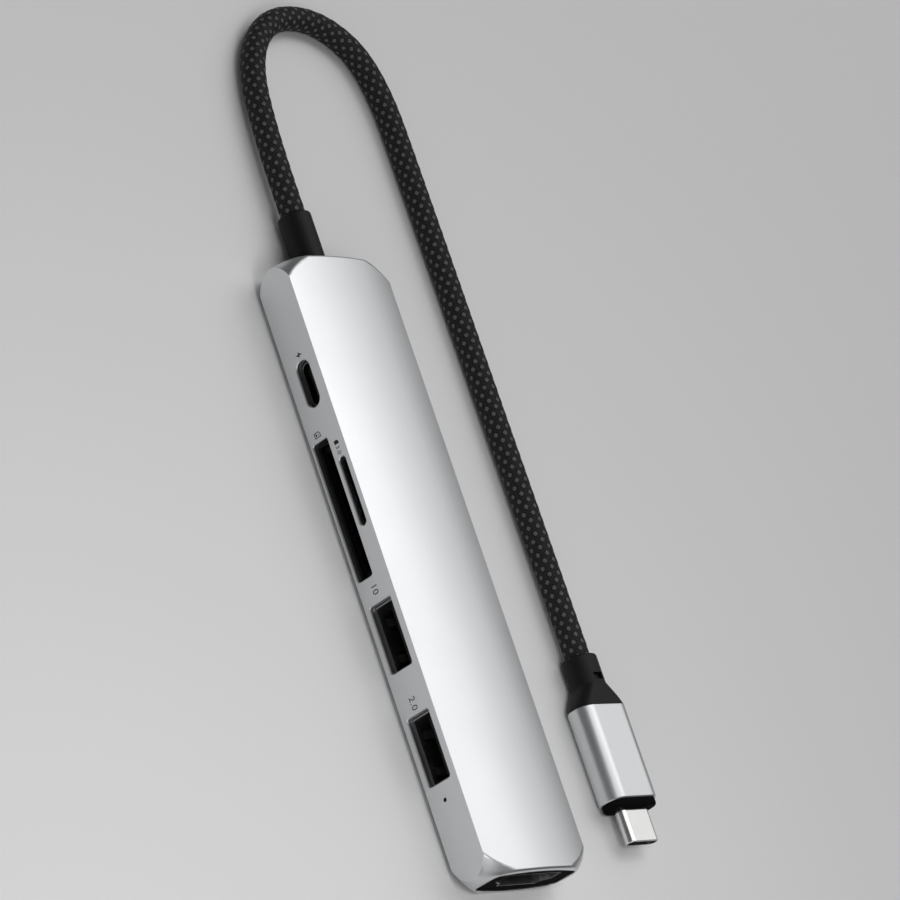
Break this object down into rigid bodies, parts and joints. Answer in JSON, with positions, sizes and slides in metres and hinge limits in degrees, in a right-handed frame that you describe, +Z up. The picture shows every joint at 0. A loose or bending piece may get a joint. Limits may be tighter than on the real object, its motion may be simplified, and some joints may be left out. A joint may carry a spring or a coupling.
{
  "type": "usb hub",
  "caption": "Slim crowned aluminium hub bar with data, card and video sockets, a short braided lead and a reversible plug.",
  "frame": {"origin": "middle of the bar's underside, on the table the bar, lead and plug lie on", "axes": "+X along the bar towards the video socket, -Y out of the long port face, +Z up"},
  "size_m": [0.1861, 0.0578, 0.0112],
  "materials": {
    "moulded_black": "moulded",
    "plain_steel": "plain",
    "gloss_black": "polished black",
    "wire_insulation": "insulated wire",
    "ceramic": "fired",
    "chip_black": "moulded epoxy",
    "satin_aluminium": "fine bead-blasted, silver anodised",
    "braid": "black braid with grey flecks",
    "gold_contacts": "gold plated",
    "socket_steel": "nickel plated",
    "boot_rubber": "soft black moulding",
    "clear_guide": "clear",
    "board_green": "solder mask",
    "ivory_plastic": "moulded",
    "bright_plating": "nickel plated",
    "pad": "soft pad"
  },
  "bodies": {
    "hub": {"board_rail": "moulded_black", "cable_crimp": "plain_steel", "cable_end_cap": "gloss_black", "cable_wires": "wire_insulation", "capacitors": "ceramic", "card_reader_chip": "chip_black", "casing": "satin_aluminium", "cord": "braid", "crystals": "plain_steel", "hdmi_contacts": "gold_contacts", "hdmi_end_cap": "gloss_black", "hdmi_shell": "socket_steel", "hdmi_tongue": "moulded_black", "hub_controller": "chip_black", "hub_strain_relief": "boot_rubber", "inductors": "moulded_black", "light_pipe": "clear_guide", "main_board": "board_green", "microsd_base": "moulded_black", "microsd_contacts": "gold_contacts", "microsd_cover": "socket_steel", "microsd_spring": "plain_steel", "plug_board": "board_green", "plug_collar": "gloss_black", "plug_contact_insert": "moulded_black", "plug_contacts": "gold_contacts", "plug_latches": "gold_contacts", "plug_marker_chip": "chip_black", "plug_shell": "satin_aluminium", "plug_strain_relief": "boot_rubber", "plug_tongue_shell": "bright_plating", "plug_wires": "wire_insulation", "power_chip": "chip_black", "sd_socket_base": "moulded_black", "sd_socket_contacts": "gold_contacts", "sd_socket_cover": "socket_steel", "status_led": "clear_guide", "thermal_pad": "pad", "usb_a_fast_contacts": "gold_contacts", "usb_a_fast_shell": "socket_steel", "usb_a_fast_tongue": "moulded_black", "usb_a_slow_contacts": "gold_contacts", "usb_a_slow_shell": "socket_steel", "usb_a_slow_tongue": "moulded_black", "usb_c_port_contacts": "gold_contacts", "usb_c_port_shell": "socket_steel", "usb_c_port_tongue": "moulded_black", "video_chip": "chip_black"},
    "card_slider": {"microsd_slider": "ivory_plastic"}
  },
  "joints": [
    {"name": "card_push", "type": "slide", "parent": "hub", "child": "card_slider", "axis": [0, 1, 0], "range_m": [0, 0.0046], "stiffness_N_per_m": 60, "springref_m": -0.001, "deforming": ["microsd_spring"]}
  ]
}
